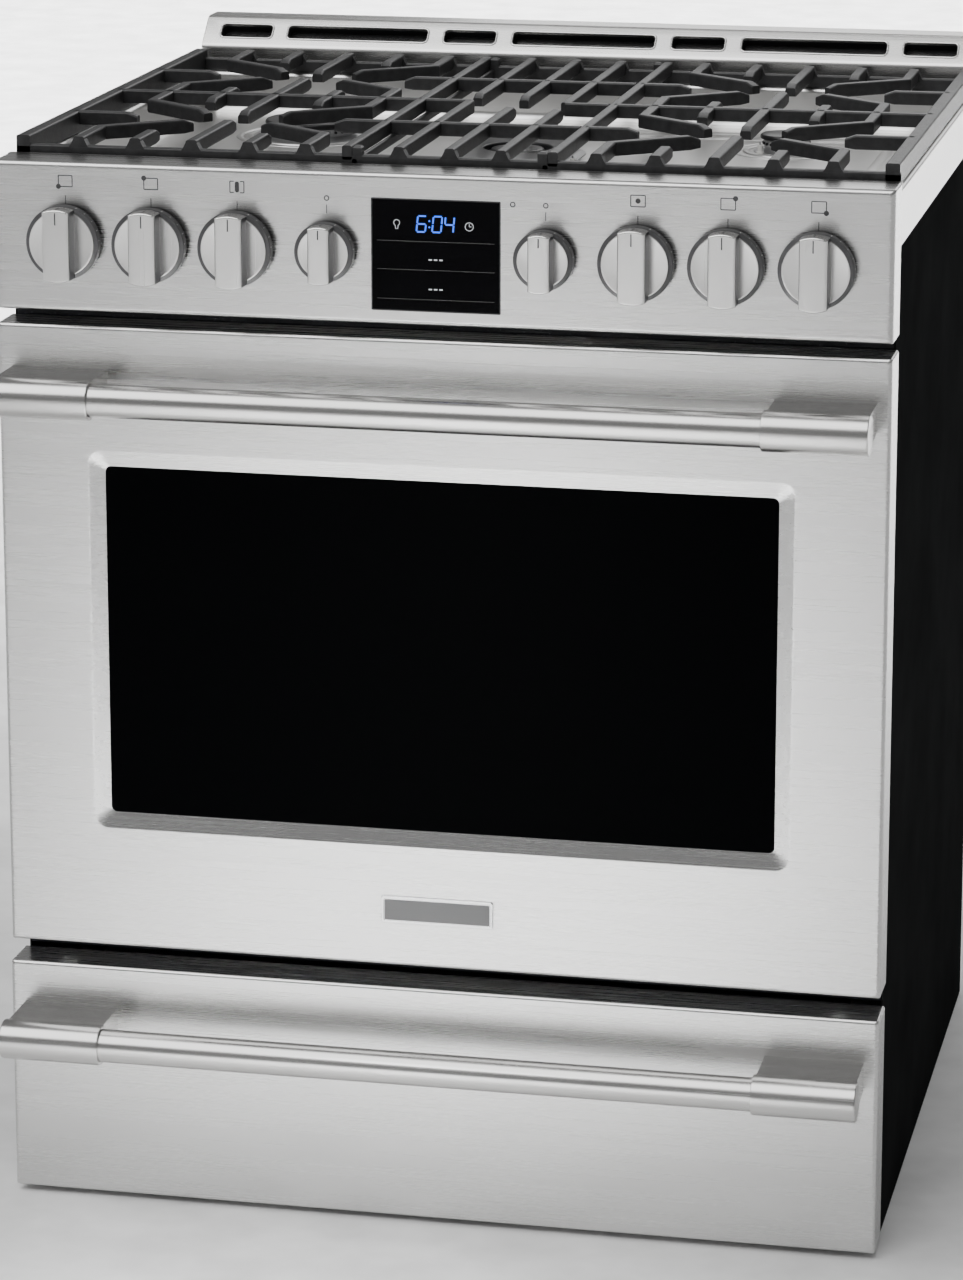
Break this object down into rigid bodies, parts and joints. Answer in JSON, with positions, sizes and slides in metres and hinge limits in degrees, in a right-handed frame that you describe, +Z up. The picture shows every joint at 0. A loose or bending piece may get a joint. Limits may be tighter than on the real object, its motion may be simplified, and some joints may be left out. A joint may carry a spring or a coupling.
{
  "type": "freestanding gas range",
  "caption": "Freestanding gas range with front controls: hinged oven door, sliding drawer, lift-off grates and caps, knobs, racks and fan.",
  "frame": {"origin": "centre of the footprint, handles included, on the floor", "axes": "+X to the right of someone facing the front, +Y towards the back, +Z up"},
  "size_m": [0.7588, 0.765, 0.9575],
  "materials": {
    "stainless": "brushed along X, satin",
    "handle_metal": "brushed round bar",
    "side_paint": "black semi-gloss paint",
    "zinc_sheet": "plain coated sheet",
    "black_enamel": "glossy porcelain enamel",
    "window_glass": "black glass",
    "clear_glass": "clear oven glass",
    "gasket_fibre": "woven fibre braid",
    "tube_steel": "plain steel",
    "rack_chrome": "bright plated wire",
    "lamp_glass": "clear lamp cover",
    "brass_fittings": "machined brass and coated pipe",
    "badge_metal": "bright plate",
    "cast_grate": "matte black enamel on cast iron",
    "cap_enamel": "semi-gloss black enamel",
    "head_aluminium": "cast aluminium",
    "igniter_ceramic": "white ceramic",
    "knob_metal": "brushed metal with a dark skirt"
  },
  "bodies": {
    "cabinet": {"control_panel": "stainless", "vent_riser": "stainless", "cooktop": "stainless", "front_frame": "stainless", "side_panel_left": "side_paint", "side_panel_right": "side_paint", "back_panel": "zinc_sheet", "base_frame": "zinc_sheet", "drawer_rails": "zinc_sheet", "oven_liner": "black_enamel", "fan_cover": "black_enamel", "display_glass": "window_glass", "oven_gasket": "gasket_fibre", "oven_burners": "tube_steel", "hinge_arms": "tube_steel", "levelling_legs": "tube_steel", "fan_motor": "tube_steel", "oven_lamp": "lamp_glass", "control_valves": "brass_fittings", "gas_manifold": "brass_fittings", "burner_heads": "head_aluminium", "igniters": "igniter_ceramic"},
    "door": {"door_panel": "stainless", "door_glass_outer": "window_glass", "door_liner": "black_enamel", "door_glass_inner": "clear_glass", "door_handle_bar": "handle_metal", "door_handle_brackets": "handle_metal", "badge_plate": "badge_metal", "door_hinge_pins": "tube_steel"},
    "drawer": {"drawer_front": "stainless", "drawer_box": "zinc_sheet", "drawer_handle_bar": "handle_metal", "drawer_handle_brackets": "handle_metal"},
    "stem_3": {"valve_stem_3": "brass_fittings"},
    "burner_knob_3": {"knob_burner_3": "knob_metal"},
    "stem_2": {"valve_stem_2": "brass_fittings"},
    "burner_knob_2": {"knob_burner_2": "knob_metal"},
    "stem_1": {"valve_stem_1": "brass_fittings"},
    "burner_knob_1": {"knob_burner_1": "knob_metal"},
    "stem_4": {"valve_stem_4": "brass_fittings"},
    "burner_knob_4": {"knob_burner_4": "knob_metal"},
    "stem_5": {"valve_stem_5": "brass_fittings"},
    "burner_knob_5": {"knob_burner_5": "knob_metal"},
    "stem_6": {"valve_stem_6": "brass_fittings"},
    "burner_knob_6": {"knob_burner_6": "knob_metal"},
    "oven_knob_mode": {"knob_oven_mode": "knob_metal"},
    "oven_knob_temperature": {"knob_oven_temperature": "knob_metal"},
    "grate_left_body": {"grate_left": "cast_grate"},
    "grate_centre_body": {"grate_centre": "cast_grate"},
    "grate_right_body": {"grate_right": "cast_grate"},
    "cap_front_left": {"burner_cap_front_left": "cap_enamel"},
    "cap_back_left": {"burner_cap_back_left": "cap_enamel"},
    "cap_front_right": {"burner_cap_front_right": "cap_enamel"},
    "cap_back_right": {"burner_cap_back_right": "cap_enamel"},
    "cap_centre_oval": {"burner_cap_centre_oval": "cap_enamel"},
    "cap_centre_round": {"burner_cap_centre_round": "cap_enamel"},
    "fan": {"convection_fan": "tube_steel"},
    "rack_lower": {"oven_rack_lower": "rack_chrome"},
    "rack_upper": {"oven_rack_upper": "rack_chrome"}
  },
  "joints": [
    {"name": "oven_door", "type": "hinge", "parent": "cabinet", "child": "door", "pos_m": [0, -0.2875, 0.24], "axis": [1, 0, 0], "range_deg": [0, 90]},
    {"name": "drawer_slide", "type": "slide", "parent": "cabinet", "child": "drawer", "axis": [0, -1, 0], "range_m": [0, 0.35]},
    {"name": "valve_turn_3", "type": "hinge", "parent": "cabinet", "child": "stem_3", "pos_m": [-0.1688, -0.3075, 0.8505], "axis": [0, -1, 0], "range_deg": [0, 270]},
    {"name": "knob_push_3", "type": "slide", "parent": "stem_3", "child": "burner_knob_3", "axis": [0, 1, 0], "range_m": [0, 0.003], "stiffness_N_per_m": 300},
    {"name": "valve_turn_2", "type": "hinge", "parent": "cabinet", "child": "stem_2", "pos_m": [-0.243, -0.3075, 0.8505], "axis": [0, -1, 0], "range_deg": [0, 270]},
    {"name": "knob_push_2", "type": "slide", "parent": "stem_2", "child": "burner_knob_2", "axis": [0, 1, 0], "range_m": [0, 0.003], "stiffness_N_per_m": 300},
    {"name": "valve_turn_1", "type": "hinge", "parent": "cabinet", "child": "stem_1", "pos_m": [-0.3172, -0.3075, 0.8505], "axis": [0, -1, 0], "range_deg": [0, 270]},
    {"name": "knob_push_1", "type": "slide", "parent": "stem_1", "child": "burner_knob_1", "axis": [0, 1, 0], "range_m": [0, 0.003], "stiffness_N_per_m": 300},
    {"name": "valve_turn_4", "type": "hinge", "parent": "cabinet", "child": "stem_4", "pos_m": [0.1688, -0.3075, 0.8505], "axis": [0, -1, 0], "range_deg": [0, 270]},
    {"name": "knob_push_4", "type": "slide", "parent": "stem_4", "child": "burner_knob_4", "axis": [0, 1, 0], "range_m": [0, 0.003], "stiffness_N_per_m": 300},
    {"name": "valve_turn_5", "type": "hinge", "parent": "cabinet", "child": "stem_5", "pos_m": [0.243, -0.3075, 0.8505], "axis": [0, -1, 0], "range_deg": [0, 270]},
    {"name": "knob_push_5", "type": "slide", "parent": "stem_5", "child": "burner_knob_5", "axis": [0, 1, 0], "range_m": [0, 0.003], "stiffness_N_per_m": 300},
    {"name": "valve_turn_6", "type": "hinge", "parent": "cabinet", "child": "stem_6", "pos_m": [0.3172, -0.3075, 0.8505], "axis": [0, -1, 0], "range_deg": [0, 270]},
    {"name": "knob_push_6", "type": "slide", "parent": "stem_6", "child": "burner_knob_6", "axis": [0, 1, 0], "range_m": [0, 0.003], "stiffness_N_per_m": 300},
    {"name": "oven_mode_turn", "type": "hinge", "parent": "cabinet", "child": "oven_knob_mode", "pos_m": [-0.0923, -0.3075, 0.8505], "axis": [0, 1, 0], "range_deg": [0, 300]},
    {"name": "oven_temperature_turn", "type": "hinge", "parent": "cabinet", "child": "oven_knob_temperature", "pos_m": [0.0923, -0.3075, 0.8505], "axis": [0, 1, 0], "range_deg": [0, 300]},
    {"name": "grate_left_lift", "type": "slide", "parent": "cabinet", "child": "grate_left_body", "axis": [0, 0, 1], "range_m": [0, 0.08]},
    {"name": "grate_centre_lift", "type": "slide", "parent": "cabinet", "child": "grate_centre_body", "axis": [0, 0, 1], "range_m": [0, 0.08]},
    {"name": "grate_right_lift", "type": "slide", "parent": "cabinet", "child": "grate_right_body", "axis": [0, 0, 1], "range_m": [0, 0.08]},
    {"name": "cap_front_left_lift", "type": "slide", "parent": "cabinet", "child": "cap_front_left", "axis": [0, 0, 1], "range_m": [0, 0.02]},
    {"name": "cap_back_left_lift", "type": "slide", "parent": "cabinet", "child": "cap_back_left", "axis": [0, 0, 1], "range_m": [0, 0.02]},
    {"name": "cap_front_right_lift", "type": "slide", "parent": "cabinet", "child": "cap_front_right", "axis": [0, 0, 1], "range_m": [0, 0.02]},
    {"name": "cap_back_right_lift", "type": "slide", "parent": "cabinet", "child": "cap_back_right", "axis": [0, 0, 1], "range_m": [0, 0.02]},
    {"name": "cap_centre_oval_lift", "type": "slide", "parent": "cabinet", "child": "cap_centre_oval", "axis": [0, 0, 1], "range_m": [0, 0.02]},
    {"name": "cap_centre_round_lift", "type": "slide", "parent": "cabinet", "child": "cap_centre_round", "axis": [0, 0, 1], "range_m": [0, 0.02]},
    {"name": "fan_spin", "type": "hinge", "parent": "cabinet", "child": "fan", "pos_m": [0, 0.2085, 0.515], "axis": [0, 1, 0], "continuous": true},
    {"name": "rack_lower_slide", "type": "slide", "parent": "cabinet", "child": "rack_lower", "axis": [0, -1, 0], "range_m": [0, 0.04]},
    {"name": "rack_upper_slide", "type": "slide", "parent": "cabinet", "child": "rack_upper", "axis": [0, -1, 0], "range_m": [0, 0.04]}
  ]
}
